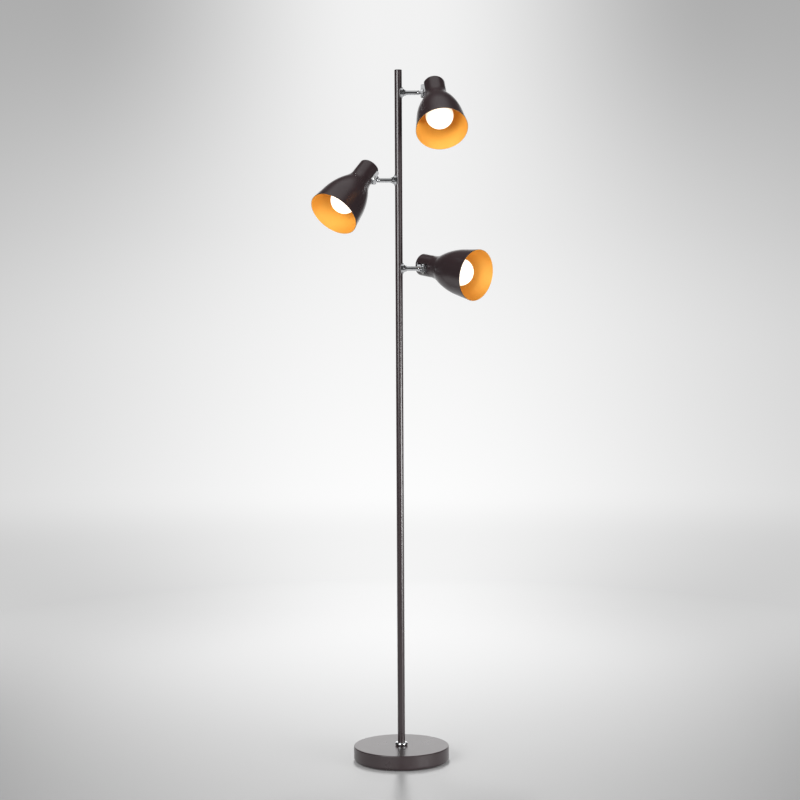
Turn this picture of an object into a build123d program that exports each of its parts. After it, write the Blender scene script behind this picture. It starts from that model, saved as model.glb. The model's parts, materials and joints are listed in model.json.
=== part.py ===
from build123d import *
import math
import os
from typing import NamedTuple

# Tree floor lamp: a round weighted base, a slim pole in three screwed sections and three bell
# shades, each on a short horizontal arm. Every arm rolls in its rosette on the pole, and every
# shade tilts on a pin that crosses the slot in its neck.
# Millimetres. Z is up, Z = 0 is the floor, the pole's axis is X = Y = 0 and the front is -Y.

# ---- Fits ------------------------------------------------------------------------------------
FIT_GAP = 0.05                # radial gap of parts that slide or turn in each other
THREAD_GAP = 0.025            # radial gap between a thread and its nut
FREE_GAP = 0.3                # radial gap round a screw or journal that passes through freely
CUT_PAST = 1.0                # how far a cutting solid runs past the face it opens

# ---- Base ------------------------------------------------------------------------------------
BASE_DIAMETER = 210.0
BASE_HEIGHT = 35.0            # floor to the top of the cover
BASE_RADIUS = BASE_DIAMETER / 2
COVER_WALL = 1.2
COVER_LIFT = 1.0              # the cover's lower edge stays this far above the floor
COVER_TOP_ROUND = 2.0
COVER_FOOT_ROUND = 8.0        # large rounding that rolls the wall in under the base
COVER_LIP = 4.0               # flat lip past the rolled edge
LIP_RADIUS = BASE_RADIUS - COVER_FOOT_ROUND - COVER_LIP
PAD_THICKNESS = 3.0
PAD_EDGE_ROUND = 0.8
WEIGHT_THICKNESS = 14.0
WEIGHT_CHAMFER = 1.5
WEIGHT_GAP = 1.0              # the weight passes the cover's lip with this gap all round
WEIGHT_RADIUS = LIP_RADIUS - WEIGHT_GAP
BOSS_RADIUS = 24.0
RIB_COUNT = 6
RIB_WIDTH = 6.0
RIB_SETBACK = 12.0            # the ribs end this far inside the weight's edge
NUT_POCKET_RADIUS = 17.0
NUT_POCKET_DEPTH = 9.0

# ---- Cord entry at the back of the base ------------------------------------------------------
CORD_BORE = 7.0
CORD_HEIGHT = 21.0
BUSH_SHANK_RADIUS = 5.5
BUSH_FLANGE_RADIUS = 7.5
BUSH_FLANGE = 2.0
BUSH_EDGE_ROUND = 0.8
BUSH_LENGTH = 12.0
CORD_CHANNEL = 10.0           # width of the way from the bush to the stud
CORD_NOTCH = 25.0             # depth of the notch in the weight where the cord turns down

# ---- Pole ------------------------------------------------------------------------------------
POLE_TOP = 1518.0             # floor to the top of the end cap
POLE_RADIUS = 8.0
POLE_WALL = 1.0
POLE_BORE = POLE_RADIUS - POLE_WALL
UPPER_JOINT = 1048.0          # floor to the joint under the lowest arm
LOWER_JOINT = (BASE_HEIGHT + UPPER_JOINT) / 2
CAP_HEIGHT = 1.6
CAP_SPIGOT = 9.0
TUBE_CHAMFER = 0.35
COUPLER_LENGTH = 60.0
COUPLER_BORE = 3.4
FLEX_RADIUS = 2.5
STUD_RADIUS = 5.0             # hollow threaded tube
STUD_BORE = 3.3
STUD_ENTRY = 22.0             # length of the stud inside the pole
STUD_END = 6.0                # floor to the stud's lower end
FOOT_NUT_FLATS = 14.0
FOOT_NUT_HEIGHT = 5.0
WASHER_RADIUS = 14.0
WASHER_THICKNESS = 1.6
COLLAR_RADIUS = 14.0
COLLAR_HEIGHT = 7.0
COLLAR_LAND = 0.2             # straight band left between the collar's two rounds

# ---- Arms, measured along the arm from the pole's axis ------------------------------------------
ARM_RADIUS = 5.0
ARM_BORE = 1.8
JOURNAL_RADIUS = 4.0
BEARING_THICKNESS = 2.6
BEARING_HEIGHT = 12.0
BEARING_FACE = POLE_BORE - BEARING_THICKNESS
JOURNAL_END = FLEX_RADIUS + 0.5
SHOULDER = POLE_RADIUS + 6.0
ROSETTE_RADIUS = 12.5
ROSETTE_BACK = 4.7            # back edge of the saddle
ROSETTE_RIM = POLE_RADIUS + 2.0
ROSETTE_CONE_END = POLE_RADIUS + 6.6
ROSETTE_WAIST_RISE = 1.9      # rim to the middle of the hollow cone, along the arm
ROSETTE_WAIST_OUT = 2.2       # boss to the middle of the hollow cone, across the arm
BOSS_END = POLE_RADIUS + 9.0
BOSS_WALL = 1.3
BOSS_PLAY = 0.1               # radial gap between the arm and the boss
BEAD_START = 41.5
BEAD_END = 46.5
BEAD_RADIUS = ARM_RADIUS + 0.4
BEAD_ROUND = 1.6
PORT_AT = (BEAD_START + BEAD_END) / 2
KNUCKLE_NECK_RADIUS = 3.6
HINGE_REACH = 53.0            # pole's axis to the tilt pin
KNUCKLE_RADIUS = 4.6
KNUCKLE_WIDTH = 12.4
KNUCKLE_EDGE_ROUND = 0.6
LEAD_RADIUS = 1.5
LEAD_BEND = 2.0
CLIP_THICKNESS = 0.7
CLIP_BORE_GAP = 0.24          # clip's edge to the pole's bore
CLIP_RADIUS = math.sqrt(POLE_BORE**2 - BEARING_FACE**2) - CLIP_BORE_GAP
CLIP_OPENING = 2.0
CLIP_PLAY = 0.2               # clip to the bearing's flat face
GROOVE_DEPTH = 0.5
GROOVE_PLAY = 0.05            # each side of the clip in its groove
STOP_HALF_ANGLE = 4.0         # each of the two stop teeth covers twice this angle
STOP_THICKNESS = 1.3
STOP_ROOM = 1.5               # depth of the stop's ring between the arm's shoulder and its seat

# ---- Heads, measured along the head's axis from the rear end of the neck ----------------------
NECK_RADIUS = 24.0
NECK_LENGTH = 38.0
NECK_WALL = 1.0
NECK_ROUND = 4.0
PIN_BACK = 29.0               # rear end to the tilt pin
PIN_OFFSET = NECK_RADIUS + 3.7    # head axis to the tilt pin
SLOT_WIDTH = 18.0
SLOT_END = NECK_LENGTH - 2.2      # leaves a narrow band of the neck in front of the slot
SLOT_FLOOR = NECK_RADIUS - 3.0    # head axis to the bottom of the slot
SHADE_LENGTH = 119.0          # neck to mouth
SHADE_WALL = 1.0
MOUTH_RADIUS = 56.0
WAIST_AT = 25.0               # neck to where the outline turns from hollow to full
HIP_AT = 81.0                 # neck to where the full curve runs out into a straight flare
START_SLOPE = 6.6             # degrees off the axis where the shade leaves the neck
FLARE_SLOPE = 8.0             # degrees off the axis of the straight flare
SHADE_EDGE_ROUND = 0.4
MOUTH_AT = NECK_LENGTH + SHADE_LENGTH
EAR_THICKNESS = 1.8
EAR_GAP = 0.2                 # each side of the knuckle
EAR_INNER = KNUCKLE_WIDTH / 2 + EAR_GAP
EAR_OUTER = EAR_INNER + EAR_THICKNESS
FLOOR_THICKNESS = 1.4
FLOOR_TOP = SLOT_FLOOR - 0.2
BRACKET_END = SLOT_END - 0.5
WEB_TOP = NECK_RADIUS + 1.5
TAB_REACH = 7.0
BEND_RADIUS = 4.2
EAR_LOBE = 4.3                # radius of the ear's outline round the pin
EAR_CORNER = 1.0              # radius of the ear's corners on the floor
EAR_HEEL = 12.0               # rear end of the neck to the rounding at the ear's back
EAR_HEEL_RADIUS = 2.4
EAR_HEEL_OFFSET = PIN_OFFSET - 0.4
EAR_REAR = 8.0                # rear end of the neck to the ear's rear corner
WEB_ROUND = 1.6
PIN_RADIUS = 2.0
SCREW_HEAD_RADIUS = 3.6
SCREW_HEAD = 2.2
SCREW_HEAD_ROUND = 1.2
PIN_NUT_FLATS = 7.0
PIN_NUT = 3.2
PIN_PAST_NUT = 0.8
CUP_SCREW_RADIUS = 1.95
CUP_SCREW_HEAD_RADIUS = 4.0
CUP_SCREW_HEAD = 2.2
CUP_SCREW_HEAD_ROUND = 1.4
CUP_SCREW_LENGTH = 10.0
SLOT_CORNER = 2.0

# ---- Lampholder and bulb ---------------------------------------------------------------------
CAP_RADIUS = 13.1
CAP_START = 33.0
CAP_END = 56.0
CAP_WALL = 0.6
CAP_CONE = 3.0                # width and height of the cone at the cap's lower end
CAP_OVERLAP = 1.0             # how far the glass neck reaches into the cap
CONTACT_RADIUS = 4.5
CONTACT_CLEARANCE = 0.5       # holder's floor to the centre contact
HOLDER_RADIUS = 18.8
HOLDER_SHOULDER_RADIUS = 20.6
HOLDER_SHOULDER = 2.0
HOLDER_THREAD_RADIUS = 19.0
HOLDER_STEP = 2.0             # chamfer at the back and step down to the plain end
HOLDER_PLAIN_END = 10.0       # length of the plain end past the thread
HOLDER_END = 60.0
HOLDER_BORE = CAP_RADIUS + 0.5
HOLDER_FLOOR = 31.0
CROWN_HOLE = HOLDER_THREAD_RADIUS + FREE_GAP
RING_RADIUS = 21.8
RING_LENGTH = 6.0
RING_CHAMFER = 1.0
GLOBE_RADIUS = 30.0
GLOBE_CENTRE = 110.0
GLASS_WALL = 1.0
GLASS_NECK_RADIUS = CAP_RADIUS - 0.1
GLASS_NECK_END = 60.5


class Arm(NamedTuple):
    """One arm: which way it points (+1 is +X), its height, and the pose of its head at rest."""
    name: str
    side: int
    height: float
    roll: float               # degrees from straight down towards the front, about the arm
    tilt: float               # degrees from in line with the arm, about the pin


ARMS = [
    Arm("top", 1, 1468.0, 46.5, 84.5),
    Arm("middle", -1, 1279.0, 40.0, 60.5),
    Arm("low", 1, 1087.2, 76.0, 42.5),
]


# ---- Helpers ---------------------------------------------------------------------------------
def turn(face):
    """Turns a face drawn as (radius, height) about the Z axis."""
    return Rot(90, 0, 0) * revolve(face, Axis.Y)


def turned(*points):
    """A turned solid from (radius, height) corners."""
    return turn(make_face(Polyline(*points, close=True)))


def tube(outer, inner, low, high):
    """A straight tube about Z."""
    return turned((inner, low), (outer, low), (outer, high), (inner, high))


def rod(radius, low, high):
    """A straight rod about Z."""
    return Pos(0, 0, low) * Cylinder(radius, high - low, align=(Align.CENTER, Align.CENTER, Align.MIN))


def block(x, y, z):
    """A box from its (low, high) pairs."""
    size = [high - low for low, high in (x, y, z)]
    return Pos(x[0], y[0], z[0]) * Box(*size, align=(Align.MIN, Align.MIN, Align.MIN))


def hexagon(flats, low, high, bore):
    """A hexagon nut about Z with a plain bore."""
    body = Pos(0, 0, low) * extrude(RegularPolygon(flats / math.sqrt(3), 6), high - low)
    return body - rod(bore, low - CUT_PAST, high + CUT_PAST)


def sector(inner, outer, low, high, middle_angle):
    """A stop tooth: a sector of a ring about Z."""
    arc = 2 * STOP_HALF_ANGLE
    face = make_face(Polyline((inner, low), (outer, low), (outer, high), (inner, high), close=True))
    return Rot(0, 0, middle_angle - STOP_HALF_ANGLE) * Rot(90, 0, 0) * revolve(face, Axis.Y, arc)


def fixed_frame(arm):
    """Frame on the pole's axis with X along the arm and Z up."""
    return Plane((0, 0, arm.height), x_dir=(arm.side, 0, 0), z_dir=(0, 0, 1)).location


def arm_frame(arm):
    """The same frame rolled with the arm, so that the head swings towards its -Z."""
    roll = math.radians(arm.roll)
    up = (0, math.sin(roll), math.cos(roll))
    return Plane((0, 0, arm.height), x_dir=(arm.side, 0, 0), z_dir=up).location


def head_frame(arm):
    """Frame at the neck's rear end: Z along the head, X towards the slot, Y along the pin."""
    hinge = arm_frame(arm) * Pos(HINGE_REACH, 0, 0) * Rot(0, arm.tilt, 0)
    return hinge * Pos(-PIN_BACK, 0, PIN_OFFSET) * Rot(0, 90, 0)


ALONG_ARM = Rot(0, 90, 0)     # turns a solid made about Z so that it lies along X


# ---- Base ------------------------------------------------------------------------------------
def base_cover():
    """Pressed steel cover whose wall rolls in under the base."""
    inner_radius = BASE_RADIUS - COVER_WALL
    outer = rod(BASE_RADIUS, COVER_LIFT, BASE_HEIGHT)
    outer = fillet(outer.edges().group_by(Axis.Z)[-1], COVER_TOP_ROUND)
    outer = fillet(outer.edges().group_by(Axis.Z)[0], COVER_FOOT_ROUND)
    hollow = rod(inner_radius, COVER_LIFT + COVER_WALL, BASE_HEIGHT - COVER_WALL)
    hollow = fillet(hollow.edges().group_by(Axis.Z)[-1], COVER_TOP_ROUND - COVER_WALL)
    hollow = fillet(hollow.edges().group_by(Axis.Z)[0], COVER_FOOT_ROUND - COVER_WALL)
    cover = outer - hollow
    cover -= rod(LIP_RADIUS, 0, COVER_LIFT + 2 * COVER_WALL)
    cover -= rod(STUD_RADIUS + FIT_GAP, 0, BASE_HEIGHT + CUT_PAST)
    cover -= Pos(0, BASE_RADIUS, CORD_HEIGHT) * Rot(90, 0, 0) * Cylinder(BUSH_SHANK_RADIUS, BUSH_LENGTH)
    return cover


def base_weight():
    """Cast iron weight with a boss and ribs that carry the cover's top."""
    top = BASE_HEIGHT - COVER_WALL
    slab_top = PAD_THICKNESS + WEIGHT_THICKNESS
    pocket_top = PAD_THICKNESS + NUT_POCKET_DEPTH
    under = PAD_THICKNESS - CUT_PAST
    weight = rod(WEIGHT_RADIUS, PAD_THICKNESS, slab_top)
    weight = chamfer(weight.edges().group_by(Axis.Z)[-1], WEIGHT_CHAMFER)
    weight += rod(BOSS_RADIUS, slab_top, top)
    rib = block((BOSS_RADIUS - RIB_WIDTH / 2, WEIGHT_RADIUS - RIB_SETBACK),
                (-RIB_WIDTH / 2, RIB_WIDTH / 2), (slab_top - CUT_PAST, top))
    for index in range(RIB_COUNT):
        weight += Rot(0, 0, index * 360 / RIB_COUNT) * rib
    weight -= rod(STUD_RADIUS + FREE_GAP, 0, top + CUT_PAST)
    weight -= rod(NUT_POCKET_RADIUS, under, pocket_top)
    channel = (-CORD_CHANNEL / 2, CORD_CHANNEL / 2)
    weight -= block(channel, (0, BASE_RADIUS), (under, pocket_top))
    weight -= block(channel, (WEIGHT_RADIUS - CORD_NOTCH, BASE_RADIUS), (under, BASE_HEIGHT))
    return weight


def base_pad():
    """Rubber pad that the lamp stands on."""
    pad = rod(WEIGHT_RADIUS, 0, PAD_THICKNESS)
    return fillet(pad.edges().group_by(Axis.Z)[0], PAD_EDGE_ROUND)


def foot_collar():
    """Half-round chrome ring round the pole's foot."""
    ring = tube(COLLAR_RADIUS, POLE_RADIUS + FIT_GAP, BASE_HEIGHT, BASE_HEIGHT + COLLAR_HEIGHT)
    outside = ring.edges().filter_by(GeomType.CIRCLE).sort_by(SortBy.RADIUS)[-2:]
    return fillet(outside, (COLLAR_HEIGHT - COLLAR_LAND) / 2)


def foot_bush():
    """Threaded bush pressed into the foot of the pole."""
    bottom = BASE_HEIGHT + TUBE_CHAMFER
    return tube(POLE_BORE - FIT_GAP, STUD_RADIUS + THREAD_GAP, bottom, BASE_HEIGHT + STUD_ENTRY)


def foot_stud():
    """Hollow threaded stud that draws the pole, the cover and the weight together."""
    return tube(STUD_RADIUS, STUD_BORE, STUD_END, BASE_HEIGHT + STUD_ENTRY)


def foot_washer():
    """Plain washer under the weight's boss."""
    top = PAD_THICKNESS + NUT_POCKET_DEPTH
    return tube(WASHER_RADIUS, STUD_RADIUS + FIT_GAP, top - WASHER_THICKNESS, top)


def foot_nut():
    """Nut that pulls the stud down."""
    top = PAD_THICKNESS + NUT_POCKET_DEPTH - WASHER_THICKNESS
    return hexagon(FOOT_NUT_FLATS, top - FOOT_NUT_HEIGHT, top, STUD_RADIUS + THREAD_GAP)


def cord_bush():
    """Plain bush in the back of the cover, for the mains cord."""
    flange = tube(BUSH_FLANGE_RADIUS, CORD_BORE / 2, 0, BUSH_FLANGE)
    flange = fillet(flange.edges().group_by(Axis.Z)[-1].sort_by(SortBy.RADIUS)[-1], BUSH_EDGE_ROUND)
    shank = tube(BUSH_SHANK_RADIUS - FIT_GAP, CORD_BORE / 2, BUSH_FLANGE - BUSH_LENGTH, 0)
    return Pos(0, BASE_RADIUS, CORD_HEIGHT) * Rot(-90, 0, 0) * (flange + shank)


# ---- Pole ------------------------------------------------------------------------------------
def pole_section(low, high):
    """One section of black steel tube, its ends broken by a small chamfer."""
    section = tube(POLE_RADIUS, POLE_BORE, low, high)
    ends = section.edges().filter_by(GeomType.CIRCLE).sort_by(SortBy.RADIUS)[-2:]
    return chamfer(ends, TUBE_CHAMFER)


def upper_pole():
    """Top section, with a hole for each arm's journal."""
    section = pole_section(UPPER_JOINT, POLE_TOP - CAP_HEIGHT)
    for arm in ARMS:
        hole = ALONG_ARM * rod(JOURNAL_RADIUS + FREE_GAP, 0, POLE_RADIUS + CUT_PAST)
        section -= fixed_frame(arm) * hole
    return section


def pole_couplers():
    """The two spigots that join the pole's sections, with the cord's way through them."""
    half = COUPLER_LENGTH / 2
    joints = (LOWER_JOINT, UPPER_JOINT)
    return Compound([tube(POLE_BORE - FIT_GAP, COUPLER_BORE, at - half, at + half) for at in joints])


def pole_cap():
    """Slightly domed end cap with a spigot in the tube."""
    rim = POLE_TOP - CAP_HEIGHT
    cap = rod(POLE_RADIUS, rim, POLE_TOP)
    cap = fillet(cap.edges().group_by(Axis.Z)[-1], CAP_HEIGHT * 0.6)
    return cap + rod(POLE_BORE - FIT_GAP, rim - CAP_SPIGOT, rim)


def inner_flex():
    """Main lead inside the stud and the pole, up to the top arm."""
    return rod(FLEX_RADIUS, STUD_END, ARMS[0].height + JOURNAL_RADIUS)


# ---- Arm parts, along X from the pole's axis ---------------------------------------------------
def rosette():
    """Saddle-backed rosette: rim, hollow cone and boss, with the tooth that stops the roll."""
    bore = JOURNAL_RADIUS + FIT_GAP
    recess = ARM_RADIUS + BOSS_PLAY
    boss = recess + BOSS_WALL
    seat = SHOULDER - STOP_ROOM
    rim = (ROSETTE_RADIUS, ROSETTE_RIM)
    waist = (boss + ROSETTE_WAIST_OUT, ROSETTE_RIM + ROSETTE_WAIST_RISE)
    cone_end = (boss, ROSETTE_CONE_END)
    outline = make_face(
        Polyline((bore, 0), (ROSETTE_RADIUS, 0), rim)
        + ThreePointArc(rim, waist, cone_end)
        + Polyline(cone_end, (boss, BOSS_END), (recess, BOSS_END), (recess, seat), (bore, seat), (bore, 0)))
    body = ALONG_ARM * turn(outline)
    body += ALONG_ARM * sector(bore, recess, seat, seat + STOP_THICKNESS, 180)
    body -= rod(POLE_RADIUS + FIT_GAP, -2 * ROSETTE_RADIUS, 2 * ROSETTE_RADIUS)
    past = (-2 * ROSETTE_RADIUS, 2 * ROSETTE_RADIUS)
    return body - block((-CUT_PAST, ROSETTE_BACK), past, past)


def arm_bearing():
    """Half-round bearing inside the pole that the journal turns in."""
    half = BEARING_HEIGHT / 2
    bearing = rod(POLE_BORE - FIT_GAP, -half, half)
    past = (-half - CUT_PAST, half + CUT_PAST)
    bearing -= block((-POLE_RADIUS, BEARING_FACE), (-POLE_RADIUS, POLE_RADIUS), past)
    return bearing - ALONG_ARM * rod(JOURNAL_RADIUS + FIT_GAP, 0, POLE_RADIUS)


def arm_clip():
    """Retaining ring in the journal's groove."""
    outer = BEARING_FACE - CLIP_PLAY
    ring = tube(CLIP_RADIUS, JOURNAL_RADIUS - GROOVE_DEPTH + FIT_GAP, outer - CLIP_THICKNESS, outer)
    gap = block((-CLIP_OPENING / 2, CLIP_OPENING / 2), (0, 2 * CLIP_RADIUS), (0, BEARING_FACE))
    return ALONG_ARM * (ring - gap)


def arm_rod():
    """Chrome arm: journal, shoulder, rod, bead and the cross knuckle for the tilt pin."""
    groove_high = BEARING_FACE - CLIP_PLAY + GROOVE_PLAY
    groove_low = BEARING_FACE - CLIP_PLAY - CLIP_THICKNESS - GROOVE_PLAY
    groove = JOURNAL_RADIUS - GROOVE_DEPTH
    body = turned((0, JOURNAL_END), (JOURNAL_RADIUS, JOURNAL_END), (JOURNAL_RADIUS, groove_low),
                  (groove, groove_low), (groove, groove_high), (JOURNAL_RADIUS, groove_high),
                  (JOURNAL_RADIUS, SHOULDER), (ARM_RADIUS, SHOULDER), (ARM_RADIUS, BEAD_START),
                  (0, BEAD_START))
    bead = rod(BEAD_RADIUS, BEAD_START, BEAD_END)
    body += fillet(bead.edges().filter_by(GeomType.CIRCLE), BEAD_ROUND)
    body += rod(KNUCKLE_NECK_RADIUS, BEAD_END - BEAD_ROUND, HINGE_REACH)
    body += sector(groove, ARM_RADIUS, SHOULDER - STOP_THICKNESS, SHOULDER + GROOVE_DEPTH, 0)
    body = ALONG_ARM * body
    across = Rot(90, 0, 0) * Cylinder(KNUCKLE_RADIUS, KNUCKLE_WIDTH)
    body += Pos(HINGE_REACH, 0, 0) * fillet(across.edges().filter_by(GeomType.CIRCLE), KNUCKLE_EDGE_ROUND)
    pin_hole = Cylinder(PIN_RADIUS + FIT_GAP, KNUCKLE_WIDTH + 2 * CUT_PAST)
    body -= Pos(HINGE_REACH, 0, 0) * Rot(90, 0, 0) * pin_hole
    body -= ALONG_ARM * rod(ARM_BORE, JOURNAL_END - CUT_PAST, PORT_AT)
    body -= Pos(PORT_AT, 0, 0) * Sphere(ARM_BORE)
    return body - Pos(PORT_AT, 0, 0) * rod(ARM_BORE, 0, BEAD_RADIUS + CUT_PAST)


def arm_lead():
    """Thin lead in the arm's bore, which turns out through the port in the bead."""
    out = (PORT_AT, 0, BEAD_RADIUS - FREE_GAP)
    path = FilletPolyline((JOURNAL_END, 0, 0), (PORT_AT, 0, 0), out, radius=LEAD_BEND)
    start = Plane((JOURNAL_END, 0, 0), z_dir=(1, 0, 0))
    return sweep(start * Circle(LEAD_RADIUS), path)


# ---- Head parts, along Z from the neck's rear end ----------------------------------------------
def neck_cup():
    """Drawn steel cup with the slot that the arm folds into."""
    cup = rod(NECK_RADIUS, 0, NECK_LENGTH)
    cup = fillet(cup.edges().group_by(Axis.Z)[0], NECK_ROUND)
    hollow = rod(NECK_RADIUS - NECK_WALL, NECK_WALL, NECK_LENGTH + CUT_PAST)
    hollow = fillet(hollow.edges().group_by(Axis.Z)[0], NECK_ROUND - NECK_WALL)
    across = (-SLOT_WIDTH / 2, SLOT_WIDTH / 2)
    slot = block((SLOT_FLOOR, NECK_RADIUS + CUT_PAST), across, (-CUT_PAST, SLOT_END))
    slot = fillet(slot.edges().filter_by(Axis.X).group_by(Axis.Z)[-1], SLOT_CORNER)
    return cup - hollow - slot - rod(CUP_SCREW_RADIUS + FREE_GAP, -CUT_PAST, NECK_WALL + CUT_PAST)


def hinge_bracket():
    """Folded steel bracket: a tab under the screw, a floor along the slot and two ears."""
    tab_back = NECK_WALL
    tab_front = NECK_WALL + FLOOR_THICKNESS
    floor_under = FLOOR_TOP - FLOOR_THICKNESS
    web_back = BRACKET_END - FLOOR_THICKNESS
    outline = Polyline((-TAB_REACH, tab_back), (FLOOR_TOP, tab_back), (FLOOR_TOP, web_back),
                       (WEB_TOP, web_back), (WEB_TOP, BRACKET_END), (floor_under, BRACKET_END),
                       (floor_under, tab_front), (-TAB_REACH, tab_front), close=True)
    strip = make_face(outline)
    strip = fillet(strip.vertices().sort_by_distance((FLOOR_TOP, tab_back))[0], BEND_RADIUS)
    inner_bend = strip.vertices().sort_by_distance((floor_under, tab_front))[0]
    strip = fillet(inner_bend, BEND_RADIUS - FLOOR_THICKNESS)
    bracket = Rot(90, 0, 0) * extrude(strip, EAR_OUTER, both=True)
    corners = [(PIN_OFFSET, PIN_BACK, EAR_LOBE),
               (WEB_TOP - WEB_ROUND, BRACKET_END - WEB_ROUND, WEB_ROUND),
               (floor_under + EAR_CORNER, BRACKET_END - EAR_CORNER, EAR_CORNER),
               (EAR_HEEL_OFFSET, EAR_HEEL, EAR_HEEL_RADIUS),
               (floor_under + EAR_CORNER, EAR_REAR, EAR_CORNER)]
    ear = make_hull((Sketch() + [Pos(x, y) * Circle(radius) for x, y, radius in corners]).edges())
    for side in (EAR_INNER, -EAR_OUTER):
        bracket += Pos(0, side + EAR_THICKNESS, 0) * Rot(90, 0, 0) * extrude(ear, EAR_THICKNESS)
    pin_hole = Cylinder(PIN_RADIUS + FIT_GAP, 2 * (EAR_OUTER + CUT_PAST))
    bracket -= Pos(PIN_OFFSET, 0, PIN_BACK) * Rot(90, 0, 0) * pin_hole
    return bracket - rod(CUP_SCREW_RADIUS + FREE_GAP, 0, tab_front + CUT_PAST)


def hinge_screw():
    """Tilt pin: a screw through both ears and the arm's knuckle."""
    head = Pos(0, 0, -EAR_OUTER - SCREW_HEAD) * rod(SCREW_HEAD_RADIUS, 0, SCREW_HEAD)
    head = fillet(head.edges().group_by(Axis.Z)[0], SCREW_HEAD_ROUND)
    shank = rod(PIN_RADIUS, -EAR_OUTER, EAR_OUTER + PIN_NUT + PIN_PAST_NUT)
    return Pos(PIN_OFFSET, 0, PIN_BACK) * Rot(-90, 0, 0) * (head + shank)


def hinge_nut():
    """Nut on the tilt pin's far end."""
    nut = hexagon(PIN_NUT_FLATS, EAR_OUTER, EAR_OUTER + PIN_NUT, PIN_RADIUS + THREAD_GAP)
    return Pos(PIN_OFFSET, 0, PIN_BACK) * Rot(-90, 0, 0) * nut


def cup_screw():
    """Screw through the closed end of the neck into the lampholder."""
    head = rod(CUP_SCREW_HEAD_RADIUS, -CUP_SCREW_HEAD, 0)
    head = fillet(head.edges().group_by(Axis.Z)[0], CUP_SCREW_HEAD_ROUND)
    return head + rod(CUP_SCREW_RADIUS, 0, CUP_SCREW_LENGTH)


def lampholder():
    """Moulded lampholder: body, shoulder and threaded skirt round the bulb's cap."""
    back = NECK_WALL + FLOOR_THICKNESS
    shoulder = NECK_LENGTH - HOLDER_SHOULDER
    screw_bore = CUP_SCREW_RADIUS + THREAD_GAP
    plain_radius = HOLDER_RADIUS - HOLDER_STEP
    plain_start = HOLDER_END - HOLDER_PLAIN_END
    return turned((screw_bore, back), (plain_radius, back), (HOLDER_RADIUS, back + HOLDER_STEP),
                  (HOLDER_RADIUS, shoulder), (HOLDER_SHOULDER_RADIUS, shoulder),
                  (HOLDER_SHOULDER_RADIUS, NECK_LENGTH), (HOLDER_THREAD_RADIUS, NECK_LENGTH),
                  (HOLDER_THREAD_RADIUS, plain_start - HOLDER_STEP), (plain_radius, plain_start),
                  (plain_radius, HOLDER_END), (HOLDER_BORE, HOLDER_END),
                  (HOLDER_BORE, HOLDER_FLOOR), (screw_bore, HOLDER_FLOOR))


def shade_ring():
    """Ring nut that clamps the shade's crown against the lampholder's shoulder."""
    low = NECK_LENGTH + SHADE_WALL
    ring = tube(RING_RADIUS, HOLDER_THREAD_RADIUS + THREAD_GAP, low, low + RING_LENGTH)
    return chamfer(ring.edges().group_by(Axis.Z)[-1].sort_by(SortBy.RADIUS)[-1], RING_CHAMFER)


def bell_waist(hip_radius):
    """Radius at the waist that lets the hollow arc and the full arc meet in one tangent."""
    low, high = NECK_RADIUS, hip_radius
    for _ in range(50):
        radius = (low + high) / 2
        hollow_chord = math.degrees(math.atan2(radius - NECK_RADIUS, WAIST_AT))
        full_chord = math.degrees(math.atan2(hip_radius - radius, HIP_AT - WAIST_AT))
        if hollow_chord - full_chord < (START_SLOPE - FLARE_SLOPE) / 2:
            low = radius
        else:
            high = radius
    return radius


def bell_outline(shift):
    """The bell's outline from neck to mouth, moved inwards by shift."""
    slope = math.radians(START_SLOPE)
    flare = math.tan(math.radians(FLARE_SLOPE))
    hip_radius = MOUTH_RADIUS - (SHADE_LENGTH - HIP_AT) * flare
    start = (NECK_RADIUS, NECK_LENGTH)
    waist = (bell_waist(hip_radius), NECK_LENGTH + WAIST_AT)
    hip = (hip_radius, NECK_LENGTH + HIP_AT)
    hollow = TangentArc(start, waist, tangent=(math.sin(slope), math.cos(slope)))
    full = TangentArc(waist, hip, tangent=hollow % 1)
    mouth = Line(hip, (MOUTH_RADIUS + SHADE_LENGTH * flare, MOUTH_AT + SHADE_LENGTH))
    points = []
    for curve in (hollow, full, mouth):
        for share in (0, 0.5, 1):
            along = curve % share
            points.append(curve @ share + Vector(-along.Y, along.X) * shift)
    return [ThreePointArc(*points[:3]), ThreePointArc(*points[3:6]), Line(points[6], points[8])]


def bell_solid(shift):
    """The space inside the bell's outline, closed at the neck and run out past the mouth."""
    outline = bell_outline(shift)
    start = outline[0] @ 0
    end = outline[-1] @ 1
    axis_end = (0, end.Y)
    axis_start = (0, start.Y)
    outline += [Line(end, axis_end), Line(axis_end, axis_start), Line(axis_start, start)]
    return turn(make_face(outline))


def shade():
    """Spun steel bell: a flat crown with the lampholder's hole, then one wall to the mouth."""
    crown = NECK_LENGTH + SHADE_WALL
    bell = bell_solid(0) - (bell_solid(SHADE_WALL) - rod(MOUTH_RADIUS, 0, crown))
    bell -= rod(CROWN_HOLE, 0, MOUTH_AT)
    bell -= rod(4 * MOUTH_RADIUS, MOUTH_AT, MOUTH_AT + 2 * SHADE_LENGTH)
    rim = bell.edges().group_by(Axis.Z)[-1]
    return fillet(rim, SHADE_EDGE_ROUND)


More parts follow.
